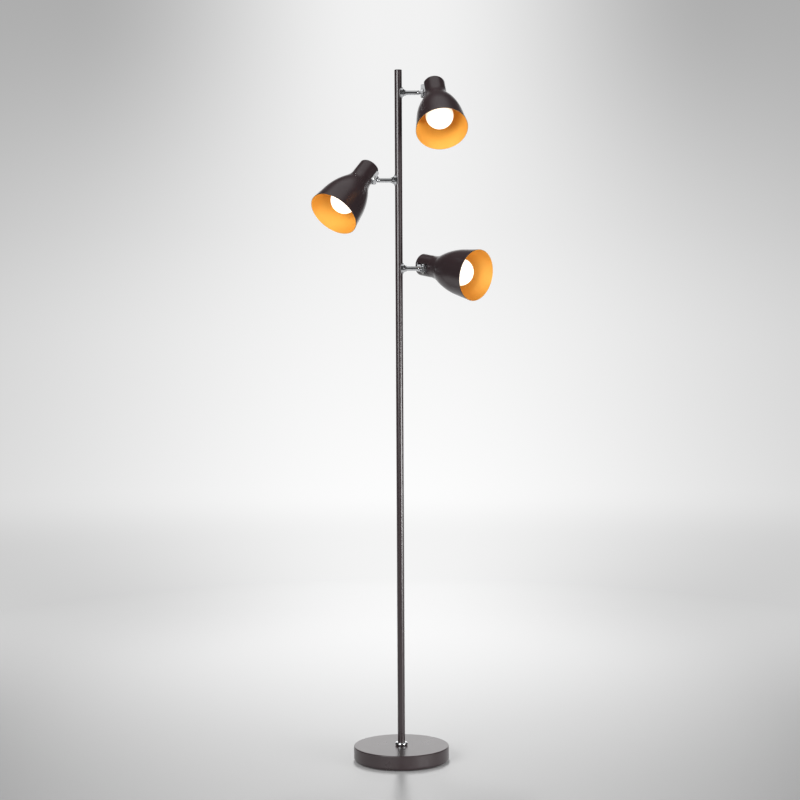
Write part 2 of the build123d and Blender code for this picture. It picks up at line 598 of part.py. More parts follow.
def bulb_glass():
    """Glass globe, its neck running into the globe on one tangent arc."""
    glass_end = CAP_END - CAP_OVERLAP
    drop = GLOBE_CENTRE - GLASS_NECK_END
    neck_arc = (GLASS_NECK_RADIUS**2 + drop**2 - GLOBE_RADIUS**2) / (2 * (GLOBE_RADIUS - GLASS_NECK_RADIUS))
    reach = neck_arc + GLOBE_RADIUS
    across = GLASS_NECK_RADIUS + neck_arc
    faces = []
    for wall in (0, GLASS_WALL):
        globe = GLOBE_RADIUS - wall
        meet = (across * globe / reach, GLOBE_CENTRE - drop * globe / reach)
        bottom = (GLASS_NECK_RADIUS - wall, glass_end)
        corner = (GLASS_NECK_RADIUS - wall, GLASS_NECK_END)
        belly = (globe, GLOBE_CENTRE)
        tip = (0, GLOBE_CENTRE + globe)
        outline = [Line((0, glass_end), bottom), Line(bottom, corner),
                   TangentArc(corner, meet, tangent=(0, 1)), ThreePointArc(meet, belly, tip),
                   Line(tip, (0, glass_end))]
        faces.append(turn(make_face(outline)))
    return faces[0] - faces[1]


def bulb_cap():
    """Screw cap of the bulb with its centre contact."""
    tip = HOLDER_FLOOR + CONTACT_CLEARANCE
    cone_end = CAP_START + CAP_CONE
    floor = CAP_START + CAP_WALL
    inside = CAP_RADIUS - CAP_WALL
    glass = GLASS_NECK_RADIUS + THREAD_GAP
    return turned((0, tip), (CONTACT_RADIUS, tip), (CONTACT_RADIUS, CAP_START),
                  (CAP_RADIUS - CAP_CONE, CAP_START), (CAP_RADIUS, cone_end), (CAP_RADIUS, CAP_END),
                  (glass, CAP_END), (glass, CAP_END - CAP_OVERLAP), (inside, CAP_END - CAP_OVERLAP),
                  (inside, cone_end), (inside - CAP_CONE, floor), (0, floor))


# ---- Assembly --------------------------------------------------------------------------------
def standing_parts():
    """Everything that stands still."""
    return {
        "base_cover": base_cover(),
        "base_weight": base_weight(),
        "base_pad": base_pad(),
        "cord_bush": cord_bush(),
        "foot_collar": foot_collar(),
        "foot_bush": foot_bush(),
        "foot_stud": foot_stud(),
        "foot_washer": foot_washer(),
        "foot_nut": foot_nut(),
        "lower_pole": pole_section(BASE_HEIGHT, LOWER_JOINT),
        "middle_pole": pole_section(LOWER_JOINT, UPPER_JOINT),
        "upper_pole": upper_pole(),
        "pole_couplers": pole_couplers(),
        "pole_cap": pole_cap(),
        "inner_flex": inner_flex(),
    }


def arm_parts():
    """The parts of the three arms and heads, each made once and then placed."""
    on_pole = {"rosette": rosette(), "arm_bearing": arm_bearing()}
    on_arm = {"arm": arm_rod(), "arm_clip": arm_clip(), "arm_lead": arm_lead()}
    on_head = {
        "hinge_bracket": hinge_bracket(),
        "hinge_screw": hinge_screw(),
        "hinge_nut": hinge_nut(),
        "neck_cup": neck_cup(),
        "cup_screw": cup_screw(),
        "lampholder": lampholder(),
        "shade_ring": shade_ring(),
        "shade": shade(),
        "bulb_glass": bulb_glass(),
        "bulb_cap": bulb_cap(),
    }
    parts = {}
    for arm in ARMS:
        for group, place in ((on_pole, fixed_frame), (on_arm, arm_frame), (on_head, head_frame)):
            for name, solid in group.items():
                parts[f"{arm.name}_{name}"] = place(arm) * solid
    return parts


def write_parts():
    """Writes one STEP file for each part."""
    os.makedirs("parts", exist_ok=True)
    for name, solid in (standing_parts() | arm_parts()).items():
        export_step(solid, f"parts/{name}.step")


write_parts()
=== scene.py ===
import json
import math

import bmesh
import bpy
from mathutils import Matrix, Vector


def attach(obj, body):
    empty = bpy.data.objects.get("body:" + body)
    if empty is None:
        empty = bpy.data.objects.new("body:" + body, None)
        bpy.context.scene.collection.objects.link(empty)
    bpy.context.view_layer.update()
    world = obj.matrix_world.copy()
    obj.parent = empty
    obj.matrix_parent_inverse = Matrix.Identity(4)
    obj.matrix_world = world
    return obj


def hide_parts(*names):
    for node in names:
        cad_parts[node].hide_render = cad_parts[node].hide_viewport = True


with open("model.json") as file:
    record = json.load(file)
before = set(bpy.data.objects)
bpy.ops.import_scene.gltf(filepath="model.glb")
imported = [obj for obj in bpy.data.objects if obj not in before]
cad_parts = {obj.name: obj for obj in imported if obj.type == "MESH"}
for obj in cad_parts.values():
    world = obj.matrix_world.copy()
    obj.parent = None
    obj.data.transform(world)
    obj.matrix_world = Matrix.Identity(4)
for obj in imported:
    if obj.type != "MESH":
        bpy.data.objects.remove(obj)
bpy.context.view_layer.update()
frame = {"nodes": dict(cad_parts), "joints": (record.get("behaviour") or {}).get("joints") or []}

# Tree floor lamp in a pale studio. Lengths are in millimetres where a name or comment says mm, and
# MM turns them into metres. Each head is drawn upright about its own axis and then put in place.
MM = 0.001
HEADS = ("top", "middle", "low")

# ---- Sizes of the lamp, mm ---------------------------------------------------------------------
NECK_RADIUS = 24.0
NECK_LENGTH = 38.0
PIN_BACK = 29.0               # rear end of the neck to the tilt pin
PIN_OFFSET = 27.7             # head's axis to the tilt pin
PIN_RADIUS = 2.0
PIN_NUT = 3.2
PIN_NUT_FLATS = 7.0
EAR_OUTER = 8.2
PAD_RADIUS = 92.0
PAD_THICKNESS = 3.0
SHADE_LENGTH = 119.0
SHADE_WALL = 1.0
MOUTH_RADIUS = 56.0
WAIST_AT = 25.0               # neck to where the outline turns from hollow to full
HIP_AT = 81.0                 # neck to where the straight flare begins
START_SLOPE = 6.6             # degrees off the axis
FLARE_SLOPE = 8.0
CROWN_HOLE = 19.3
HOLDER_RADIUS = 18.8
HOLDER_THREAD_RADIUS = 19.0
HOLDER_END = 60.0
HOLDER_SHOULDER_RADIUS = 20.6
HOLDER_BACK = 2.4
HOLDER_FLOOR = 31.0
HOLDER_BORE = 13.6
HOLDER_SCREW_BORE = 1.975
HOLDER_THREAD_PITCH = 2.5
HOLDER_THREAD_DEPTH = 0.3
RING_RADIUS = 21.8
RING_LENGTH = 6.0
GLOBE_RADIUS = 30.0
GLOBE_CENTRE = 110.0
GLASS_NECK_RADIUS = 13.0
GLASS_NECK_END = 60.5
CAP_RADIUS = 13.1
CAP_START = 33.0
CAP_END = 56.0
CAP_THREAD_PITCH = 3.6
CAP_THREAD_DEPTH = 0.45
CAP_CONTACT_RADIUS = 4.5
CAP_CONTACT_HEIGHT = 1.5
RING_RIBS = 40
RING_RIB_RADIUS = 0.7
SCREW_HEAD = 2.2
SCREW_PITCH = 0.7
SCREW_THREAD_DEPTH = 0.12
SCREW_CHAMFER = 0.4
PIN_PROUD = 0.8               # how far the pin stands out of its nut
NECK_SCREW_RADIUS = 1.95
NECK_SCREW_END = 10.0
PAD_RIM = 4.0                 # flat rim before the first groove
PAD_RIB = 4.0
PAD_GROOVE = 2.0
PAD_GROOVE_DEPTH = 0.9
PAD_GROOVE_DRAFT = 0.3        # each side of a groove leans by this much
PAD_CENTRE = 12.0             # no grooves inside this radius
THREAD_STEPS = 12             # points of an outline in each pitch of a thread
NO_THREAD = (1.0, 0.0, 0.0, 0.0)

# ---- Tolerances --------------------------------------------------------------------------------
ROUNDING = 1e-4               # of a grid column, so that a point is never counted to the one before
SEAM = 1e-6                   # metres, between points that are one


# ---- Small tools -------------------------------------------------------------------------------
def srgb(code):
    """Linear RGBA from an sRGB hex colour, by the sRGB standard's own curve."""
    channels = [int(code[i:i + 2], 16) / 255 for i in (1, 3, 5)]
    return [c / 12.92 if c <= 0.04045 else ((c + 0.055) / 1.055) ** 2.4 for c in channels] + [1.0]


def set_inputs(tree, node, inputs):
    """Gives each input a value, another node's first output, or the output that is given."""
    for key, value in inputs.items():
        if isinstance(value, bpy.types.Node):
            value = value.outputs[0]
        if isinstance(value, bpy.types.NodeSocket):
            tree.links.new(value, node.inputs[key])
        else:
            node.inputs[key].default_value = value


def add_node(tree, kind, inputs=None, **settings):
    """Adds a node with its properties and inputs."""
    node = tree.nodes.new(kind)
    for name, value in settings.items():
        setattr(node, name, value)
    set_inputs(tree, node, inputs or {})
    return node


def new_material(name):
    """An empty material: its node tree, its shader and the object's own coordinates."""
    material = bpy.data.materials.new(name)
    material.use_nodes = True
    tree = material.node_tree
    tree.nodes.clear()
    shader = add_node(tree, "ShaderNodeBsdfPrincipled")
    add_node(tree, "ShaderNodeOutputMaterial", {"Surface": shader})
    where = add_node(tree, "ShaderNodeTexCoord").outputs["Object"]
    return material, tree, shader, where


def arc(start, tangent, end, steps):
    """Points on the arc that leaves start along tangent and ends at end, without its first point,
    and its direction at the end."""
    start, tangent, end = Vector(start), Vector(tangent).normalized(), Vector(end)
    chord = end - start
    normal = Vector((-tangent.y, tangent.x))
    rise = chord.dot(normal)
    centre = start + normal * (chord.length_squared / (2 * rise))
    angle = 2 * math.atan2(rise, chord.dot(tangent))
    points = []
    for step in range(1, steps + 1):
        turn = Matrix.Rotation(angle * step / steps, 2)
        points.append(centre + turn @ (start - centre))
    return points, turn @ tangent


def rounded(corners, steps=6):
    """An open outline from (radius, height, rounding) corners, each rounding drawn as an arc."""
    points = []
    for index, (x, y, rounding) in enumerate(corners):
        here = Vector((x, y))
        if not rounding:
            points.append(here)
            continue
        before = (Vector(corners[index - 1][:2]) - here).normalized()
        after = (Vector(corners[index + 1][:2]) - here).normalized()
        half = before.angle(after) / 2
        reach = rounding / math.tan(half)
        points.append(here + before * reach)
        points += arc(here + before * reach, -before, here + after * reach, steps)[0]
    return points


# ---- Node trees that make shapes ---------------------------------------------------------------
def shape_tree(name, inputs):
    """A geometry tree with these named inputs, and the outputs that carry them in the tree."""
    tree = bpy.data.node_groups.new(name, "GeometryNodeTree")
    tree.interface.new_socket("Geometry", in_out="OUTPUT", socket_type="NodeSocketGeometry")
    for label, kind in inputs.items():
        tree.interface.new_socket(label, in_out="INPUT", socket_type=f"NodeSocket{kind}")
    return tree, add_node(tree, "NodeGroupInput").outputs


def spun_part_tree():
    """Turns an outline, given as points in the XZ plane, about Z. Between Thread Start and Thread End
    its radius follows a helix, as on a screw cap."""
    tree, given = shape_tree("Spun part", {
        "Outline": "Geometry", "Segments": "Int", "Thread Pitch": "Float", "Thread Depth": "Float",
        "Thread Start": "Float", "Thread End": "Float", "Material": "Material"})
    count = add_node(tree, "GeometryNodeAttributeDomainSize", {"Geometry": given["Outline"]})
    columns = add_node(tree, "ShaderNodeMath", {0: given["Segments"], 1: 1}, operation="ADD")
    grid = add_node(tree, "GeometryNodeMeshGrid", {"Vertices X": columns, "Vertices Y": count})
    # each column of the grid is the outline once more, so a point's place in the outline is its index
    # less the columns before it
    index = add_node(tree, "GeometryNodeInputIndex")
    column = add_node(tree, "ShaderNodeMath", {0: index, 1: count}, operation="DIVIDE")
    column = add_node(tree, "ShaderNodeMath", {0: column, 1: ROUNDING}, operation="ADD")
    column = add_node(tree, "ShaderNodeMath", {0: column}, operation="FLOOR")
    before = add_node(tree, "ShaderNodeMath", {0: column, 1: count}, operation="MULTIPLY")
    place = add_node(tree, "ShaderNodeMath", {0: index, 1: before}, operation="SUBTRACT")
    point = add_node(tree, "GeometryNodeSampleIndex", {
        "Geometry": given["Outline"], "Value": add_node(tree, "GeometryNodeInputPosition"), "Index": place},
        data_type="FLOAT_VECTOR")
    drawn = add_node(tree, "ShaderNodeSeparateXYZ", {0: point}).outputs
    turned = add_node(tree, "ShaderNodeMath", {0: column, 1: given["Segments"]}, operation="DIVIDE")
    angle = add_node(tree, "ShaderNodeMath", {0: turned, 1: 2 * math.pi}, operation="MULTIPLY")
    # the thread: a wave along Z that climbs one pitch in each turn, fading in and out at its ends
    pitches = add_node(tree, "ShaderNodeMath", {0: drawn["Z"], 1: given["Thread Pitch"]}, operation="DIVIDE")
    climb = add_node(tree, "ShaderNodeMath", {0: pitches, 1: turned}, operation="SUBTRACT")
    climb = add_node(tree, "ShaderNodeMath", {0: climb, 1: 2 * math.pi}, operation="MULTIPLY")
    wave = add_node(tree, "ShaderNodeMath", {0: climb}, operation="COSINE")
    above = add_node(tree, "ShaderNodeMath", {0: drawn["Z"], 1: given["Thread Start"]}, operation="SUBTRACT")
    below = add_node(tree, "ShaderNodeMath", {0: given["Thread End"], 1: drawn["Z"]}, operation="SUBTRACT")
    inside = add_node(tree, "ShaderNodeMath", {0: above, 1: below}, operation="MINIMUM")
    fade = add_node(tree, "ShaderNodeMapRange", {0: inside, "From Max": given["Thread Pitch"]})
    depth = add_node(tree, "ShaderNodeMath", {0: given["Thread Depth"], 1: fade}, operation="MULTIPLY")
    crest = add_node(tree, "ShaderNodeMath", {0: wave, 1: depth}, operation="MULTIPLY")
    radius = add_node(tree, "ShaderNodeMath", {0: drawn["X"], 1: crest}, operation="ADD")
    flat = add_node(tree, "ShaderNodeCombineXYZ", {"X": radius, "Z": drawn["Z"]})
    placed = add_node(tree, "ShaderNodeVectorRotate", {"Vector": flat, "Angle": angle},
                      rotation_type="Z_AXIS")
    along = add_node(tree, "GeometryNodeStoreNamedAttribute", {
        "Geometry": grid, "Name": "UVMap", "Value": grid.outputs["UV Map"]},
        data_type="FLOAT2", domain="CORNER")
    shaped = add_node(tree, "GeometryNodeSetPosition", {"Geometry": along, "Position": placed})
    closed = add_node(tree, "GeometryNodeMergeByDistance", {"Geometry": shaped, "Distance": SEAM})
    smooth = add_node(tree, "GeometryNodeSetShadeSmooth", {"Geometry": closed})
    real = add_node(tree, "GeometryNodeRealizeInstances", {"Geometry": smooth})
    painted = add_node(tree, "GeometryNodeSetMaterial", {"Geometry": real, "Material": given["Material"]})
    add_node(tree, "NodeGroupOutput", {0: painted})
    return tree


def ribs_tree():
    """Adds rounded grip ribs to a part, in a ring round Z that stands on a radius."""
    tree, given = shape_tree("Grip ribs", {
        "Geometry": "Geometry", "Count": "Int", "Ring Radius": "Float", "Rib Radius": "Float",
        "Rib Length": "Float", "Rib Middle": "Float", "Material": "Material"})
    ring = add_node(tree, "GeometryNodeMeshCircle", {
        "Vertices": given["Count"], "Radius": given["Ring Radius"]})
    middle = add_node(tree, "ShaderNodeCombineXYZ", {"Z": given["Rib Middle"]})
    raised = add_node(tree, "GeometryNodeTransform", {"Geometry": ring, "Translation": middle})
    ball = add_node(tree, "GeometryNodeMeshUVSphere", {"Segments": 10, "Rings": 8, "Radius": 1.0})
    half = add_node(tree, "ShaderNodeMath", {0: given["Rib Length"], 1: 0.5}, operation="MULTIPLY")
    size = add_node(tree, "ShaderNodeCombineXYZ", {
        "X": given["Rib Radius"], "Y": given["Rib Radius"], "Z": half})
    rib = add_node(tree, "GeometryNodeTransform", {"Geometry": ball, "Scale": size})
    ribs = add_node(tree, "GeometryNodeInstanceOnPoints", {"Points": raised, "Instance": rib})
    real = add_node(tree, "GeometryNodeRealizeInstances", {"Geometry": ribs})
    smooth = add_node(tree, "GeometryNodeSetShadeSmooth", {"Geometry": real})
    both = add_node(tree, "GeometryNodeJoinGeometry", {"Geometry": smooth})
    tree.links.new(given["Geometry"], both.inputs["Geometry"])
    joined = add_node(tree, "GeometryNodeRealizeInstances", {"Geometry": both})
    painted = add_node(tree, "GeometryNodeSetMaterial", {"Geometry": joined, "Material": given["Material"]})
    add_node(tree, "NodeGroupOutput", {0: painted})
    return tree


SPUN_PART = spun_part_tree()
GRIP_RIBS = ribs_tree()


def keep_result(piece):
    """Makes what a piece's modifiers give its own mesh, and removes them."""
    bpy.context.view_layer.update()
    graph = bpy.context.evaluated_depsgraph_get()
    piece.data = bpy.data.meshes.new_from_object(piece.evaluated_get(graph))
    piece.modifiers.clear()


def grow(piece, tree, values):
    """Runs a node tree on a piece with its named inputs set, and keeps the result as its mesh."""
    modifier = piece.modifiers.new(tree.name, "NODES")
    modifier.node_group = tree
    for item in tree.interface.items_tree:
        if item.item_type == "SOCKET" and item.in_out == "INPUT" and item.name in values:
            modifier[item.identifier] = values[item.name]
    keep_result(piece)
    piece.data.materials.clear()
    piece.data.materials.append(values["Material"])
    piece.data.polygons.foreach_set("material_index", [0] * len(piece.data.polygons))


def new_object(name, data):
    """A new object in the scene."""
    made = bpy.data.objects.new(name, data)
    bpy.context.scene.collection.objects.link(made)
    return made


def mesh_piece(name, points, edges=(), faces=()):
    """A new mesh object from points in mm."""
    mesh = bpy.data.meshes.new(name)
    mesh.from_pydata([Vector(point) * MM for point in points], edges, faces)
    return new_object(name, mesh)


def point_outwards(piece):
    """Makes the faces of a closed piece point outwards."""
    shape = bmesh.new()
    shape.from_mesh(piece.data)
    bmesh.ops.recalc_face_normals(shape, faces=shape.faces)
    shape.to_mesh(piece.data)
    shape.free()


def spin(name, outline, material, segments=128, thread=NO_THREAD, sharp=35):
    """Spins an outline of (radius, height) points in mm about Z. thread is (pitch, depth, start, end)
    in mm, and edges steeper than sharp degrees stay crisp."""
    points = [(x, 0, y) for x, y in outline]
    piece = mesh_piece(name, points, [(index, index + 1) for index in range(len(points) - 1)])
    pitch, depth, start, end = (size * MM for size in thread)
    grow(piece, SPUN_PART, {"Segments": segments, "Thread Pitch": pitch, "Thread Depth": depth,
                            "Thread Start": start, "Thread End": end, "Material": material})
    point_outwards(piece)
    piece.data.set_sharp_from_angle(angle=math.radians(sharp))
    return piece


def combine(piece, other, operation):
    """Cuts a closed shape with another one, or keeps what they share, and removes the other one."""
    modifier = piece.modifiers.new("combine", "BOOLEAN")
    modifier.operation = operation
    modifier.object = other
    modifier.solver = "EXACT"
    keep_result(piece)
    bpy.data.objects.remove(other)


def stand_for(piece, node, body, place):
    """Puts a piece in place, on its body, instead of a CAD node."""
    piece.data.transform(place)
    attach(piece, body)
    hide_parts(node)


# ---- Materials of the lamp ---------------------------------------------------------------------
def powder_coated_steel():
    """Mild steel with a satin black powder coat: the baked powder flows into a fine orange peel that
    softens the edge of each highlight, and its black is a little warm."""
    material, tree, shader, where = new_material("powder_coated_steel")
    peel_mm = 1.6             # real orange peel is about half this, drawn coarser so that it shows
    cloud_mm = 45.0
    peel = add_node(tree, "ShaderNodeTexNoise", {"Vector": where, "Scale": 1 / (peel_mm * MM), "Detail": 2.0})
    cloud = add_node(tree, "ShaderNodeTexNoise", {
        "Vector": where, "Scale": 1 / (cloud_mm * MM), "Detail": 3.0})
    rough = add_node(tree, "ShaderNodeMapRange", {"Value": cloud, "To Min": 0.26, "To Max": 0.30})
    tint = add_node(tree, "ShaderNodeMix", {"Factor": cloud, "A": srgb("#2B2022"), "B": srgb("#312628")},
                    data_type="RGBA")
    bump = add_node(tree, "ShaderNodeBump", {"Strength": 0.02, "Distance": 0.02 * MM, "Height": peel})
    set_inputs(tree, shader, {"Base Color": tint.outputs["Result"], "Roughness": rough, "Normal": bump,
                              "Specular IOR Level": 0.7})
    return material


def sprayed_gold_lacquer():
    """Gold bronze lacquer sprayed on the steel: satin and warm, with the faint mottle that the
    settling metal flakes leave."""
    material, tree, shader, where = new_material("sprayed_gold_lacquer")
    mottle_mm = 2.0
    cloud_mm = 30.0
    mottle = add_node(tree, "ShaderNodeTexNoise", {
        "Vector": where, "Scale": 1 / (mottle_mm * MM), "Detail": 3.0})
    cloud = add_node(tree, "ShaderNodeTexNoise", {"Vector": where, "Scale": 1 / (cloud_mm * MM)})
    tint = add_node(tree, "ShaderNodeMix", {"Factor": mottle, "A": srgb("#EDAC44"), "B": srgb("#F6BB52")},
                    data_type="RGBA")
    rough = add_node(tree, "ShaderNodeMapRange", {"Value": cloud, "To Min": 0.36, "To Max": 0.46})
    bump = add_node(tree, "ShaderNodeBump", {"Strength": 0.1, "Distance": 0.02 * MM, "Height": mottle})
    set_inputs(tree, shader, {"Base Color": tint.outputs["Result"], "Roughness": rough, "Normal": bump,
                              "Metallic": 0.35})
    return material


def chrome_plated_steel():
    """Steel, polished and chrome plated: a cold mirror with the faint haze that the polishing mop
    leaves."""
    material, tree, shader, where = new_material("chrome_plated_steel")
    haze_mm = 6.0
    haze = add_node(tree, "ShaderNodeTexNoise", {"Vector": where, "Scale": 1 / (haze_mm * MM), "Detail": 4.0})
    rough = add_node(tree, "ShaderNodeMapRange", {"Value": haze, "To Min": 0.11, "To Max": 0.15})
    set_inputs(tree, shader, {"Base Color": srgb("#DADBDD"), "Roughness": rough, "Metallic": 1.0})
    return material


def zinc_plated_steel():
    """Steel, zinc plated and passivated: dull silver with the soft crystal mottle of the plating."""
    material, tree, shader, where = new_material("zinc_plated_steel")
    mottle_mm = 3.0
    mottle = add_node(tree, "ShaderNodeTexVoronoi", {"Vector": where, "Scale": 1 / (mottle_mm * MM)})
    rough = add_node(tree, "ShaderNodeMapRange", {
        "Value": mottle.outputs["Color"], "To Min": 0.28, "To Max": 0.42})
    tint = add_node(tree, "ShaderNodeMix", {
        "Factor": mottle.outputs["Color"], "A": srgb("#AEB0AE"), "B": srgb("#BDBEB8")}, data_type="RGBA")
    set_inputs(tree, shader, {"Base Color": tint.outputs["Result"], "Roughness": rough, "Metallic": 1.0})
    return material


def turned_brass():
    """Brass, turned: warm yellow with the fine uneven gloss that the cutting tool leaves."""
    material, tree, shader, where = new_material("turned_brass")
    tool_mm = 0.4
    tool = add_node(tree, "ShaderNodeTexNoise", {"Vector": where, "Scale": 1 / (tool_mm * MM)})
    rough = add_node(tree, "ShaderNodeMapRange", {"Value": tool, "To Min": 0.22, "To Max": 0.34})
    set_inputs(tree, shader, {"Base Color": srgb("#C9A558"), "Roughness": rough, "Metallic": 1.0})
    return material


def pressed_aluminium():
    """Aluminium, pressed thin and rolled into its thread: pale and softly streaked."""
    material, tree, shader, where = new_material("pressed_aluminium")
    streak_mm = 1.5
    streak = add_node(tree, "ShaderNodeTexNoise", {"Vector": where, "Scale": 1 / (streak_mm * MM)})
    rough = add_node(tree, "ShaderNodeMapRange", {"Value": streak, "To Min": 0.30, "To Max": 0.42})
    set_inputs(tree, shader, {"Base Color": srgb("#C4C5C6"), "Roughness": rough, "Metallic": 1.0})
    return material


def sand_cast_iron():
    """Grey iron, sand cast: dark, dull and pitted by the grains of the mould."""
    material, tree, shader, where = new_material("sand_cast_iron")
    grain_mm = 0.9
    grain = add_node(tree, "ShaderNodeTexNoise", {
        "Vector": where, "Scale": 1 / (grain_mm * MM), "Detail": 6.0})
    tint = add_node(tree, "ShaderNodeMix", {"Factor": grain, "A": srgb("#2E2D2C"), "B": srgb("#4A4846")},
                    data_type="RGBA")
    bump = add_node(tree, "ShaderNodeBump", {"Strength": 0.6, "Distance": 0.2 * MM, "Height": grain})
    set_inputs(tree, shader, {"Base Color": tint.outputs["Result"], "Roughness": 0.75, "Normal": bump})
    return material


def moulded_rubber():
    """Rubber, pressed in a mould: dark grey, matt, with the fine pebbled skin that grips the floor."""
    material, tree, shader, where = new_material("moulded_rubber")
    pebble_mm = 1.2
    pebble = add_node(tree, "ShaderNodeTexVoronoi", {"Vector": where, "Scale": 1 / (pebble_mm * MM)})
    bump = add_node(tree, "ShaderNodeBump", {"Strength": 0.5, "Distance": 0.1 * MM, "Height": pebble},
                    invert=True)
    tint = add_node(tree, "ShaderNodeMix", {"Factor": pebble, "A": srgb("#2B2B2C"), "B": srgb("#1E1E1F")},
                    data_type="RGBA")
    set_inputs(tree, shader, {"Base Color": tint.outputs["Result"], "Roughness": 0.85, "Normal": bump})
    return material


def moulded_plastic(name, light, dark, roughness):
    """Plastic from a mould with a spark-eroded skin: one even colour with a fine grain."""
    material, tree, shader, where = new_material(name)
    grain_mm = 0.5
    grain = add_node(tree, "ShaderNodeTexNoise", {
        "Vector": where, "Scale": 1 / (grain_mm * MM), "Detail": 2.0})
    tint = add_node(tree, "ShaderNodeMix", {"Factor": grain, "A": srgb(dark), "B": srgb(light)},
                    data_type="RGBA")
    bump = add_node(tree, "ShaderNodeBump", {"Strength": 0.15, "Distance": 0.02 * MM, "Height": grain})
    set_inputs(tree, shader, {
        "Base Color": tint.outputs["Result"], "Roughness": roughness, "Normal": bump})
    return material


def lit_opal_glass():
    """Blown glass with a white coat inside, lit: a warm white glow with hardly any cloud. The light
    sits in the front of the globe, so the glow is weaker towards the neck."""
    material, tree, shader, where = new_material("lit_opal_glass")
    cloud_mm = 12.0
    cloud = add_node(tree, "ShaderNodeTexNoise", {"Vector": where, "Scale": 1 / (cloud_mm * MM)})
    glow = add_node(tree, "ShaderNodeMapRange", {"Value": cloud, "To Min": 1.6, "To Max": 1.7})
    skin = add_node(tree, "ShaderNodeTexCoord").outputs["UV"]
    along = add_node(tree, "ShaderNodeSeparateXYZ", {0: skin}).outputs["Y"]
    bright = add_node(tree, "ShaderNodeMapRange", {
        "Value": along, "From Min": 0.45, "From Max": 0.72, "To Min": 0.2, "To Max": 1.0},
        interpolation_type="SMOOTHSTEP")
    glow = add_node(tree, "ShaderNodeMath", {0: glow, 1: bright}, operation="MULTIPLY")
    set_inputs(tree, shader, {"Base Color": srgb("#B0AEA8"), "Roughness": 0.2,
                              "Emission Color": srgb("#FFF4E2"), "Emission Strength": glow})
    return material


POWDER_COAT = powder_coated_steel()
GOLD = sprayed_gold_lacquer()
CHROME = chrome_plated_steel()
ZINC = zinc_plated_steel()
BRASS = turned_brass()
ALUMINIUM = pressed_aluminium()
IRON = sand_cast_iron()
RUBBER = moulded_rubber()
BLACK_NYLON = moulded_plastic("moulded_black_nylon", "#242424", "#1C1C1C", 0.45)
WHITE_THERMOSET = moulded_plastic("moulded_white_thermoset", "#E9E6DE", "#E2DED4", 0.4)
LEAD_SHEATH = moulded_plastic("extruded_grey_vinyl", "#BDBDB8", "#B2B2AC", 0.5)
OPAL_GLASS = lit_opal_glass()


# ---- Shades and bulbs --------------------------------------------------------------------------
def bell_outline():
    """The bell's outside from neck to mouth: a hollow arc, a full arc and a straight flare, each
    running into the next."""
    flare = math.tan(math.radians(FLARE_SLOPE))
    hip_radius = MOUTH_RADIUS - (SHADE_LENGTH - HIP_AT) * flare
    # halving finds the waist's radius at which the two arcs lead from the first slope to the flare
    low, high = NECK_RADIUS, hip_radius
    for _ in range(40):
        waist_radius = (low + high) / 2
        hollow_chord = math.degrees(math.atan2(waist_radius - NECK_RADIUS, WAIST_AT))
        full_chord = math.degrees(math.atan2(hip_radius - waist_radius, HIP_AT - WAIST_AT))
        if hollow_chord - full_chord < (START_SLOPE - FLARE_SLOPE) / 2:
            low = waist_radius
        else:
            high = waist_radius
    slope = math.radians(START_SLOPE)
    start = Vector((NECK_RADIUS, NECK_LENGTH))
    waist = (waist_radius, NECK_LENGTH + WAIST_AT)
    hollow, bend = arc(start, (math.sin(slope), math.cos(slope)), waist, steps=14)
    full, _ = arc(waist, bend, (hip_radius, NECK_LENGTH + HIP_AT), steps=26)
    mouth = Vector((MOUTH_RADIUS, NECK_LENGTH + SHADE_LENGTH))
    rows = 8
    straight = [full[-1].lerp(mouth, row / rows) for row in range(1, rows + 1)]
    return [start] + hollow + full + straight


def moved_inwards(points, distance):
    """The same open outline moved towards the axis."""
    moved = []
    for index, point in enumerate(points):
        ahead = points[min(index + 1, len(points) - 1)] - points[max(index - 1, 0)]
        moved.append(point + Vector((-ahead.y, ahead.x)).normalized() * distance)
    return moved


def bell_shade(name):
    """Spun steel bell, black outside and gold inside, the two meeting on the rounded rim."""
    outside = bell_outline()
    inside = moved_inwards(outside, SHADE_WALL)
    round_off = SHADE_WALL / 2
    outside[-1].y -= round_off
    inside[-1].y = outside[-1].y
    middle = (outside[-1] + inside[-1]) / 2
    lip = []
    for angle in (30, 60, 90, 120, 150):
        direction = Vector((math.cos(math.radians(angle)), math.sin(math.radians(angle))))
        lip.append(middle + direction * round_off)
    crown = NECK_LENGTH + SHADE_WALL
    fillet = 1.2
    inside = [point for point in inside if point.y > crown + 1.5]
    wall_foot = (inside[0].x - 0.2, crown)
    bottom = rounded([(*inside[0], 0), (*wall_foot, fillet), (CROWN_HOLE, crown, 0)])
    hole_edge = Vector((CROWN_HOLE, NECK_LENGTH))
    outline = [hole_edge] + outside + lip + inside[::-1] + bottom[1:] + [hole_edge]
    piece = spin(f"{name}_bell_shade", outline, POWDER_COAT, segments=192)
    piece.data.materials.append(GOLD)
    # the UV map's Y runs along the outline, and the gold starts halfway round the lip
    gold_from = (1 + len(outside) + len(lip) // 2) / (len(outline) - 1)
    layer = piece.data.uv_layers["UVMap"].data
    for face in piece.data.polygons:
        along = sum(layer[loop].uv.y for loop in face.loop_indices) / len(face.loop_indices)
        face.material_index = int(along > gold_from)
    return piece


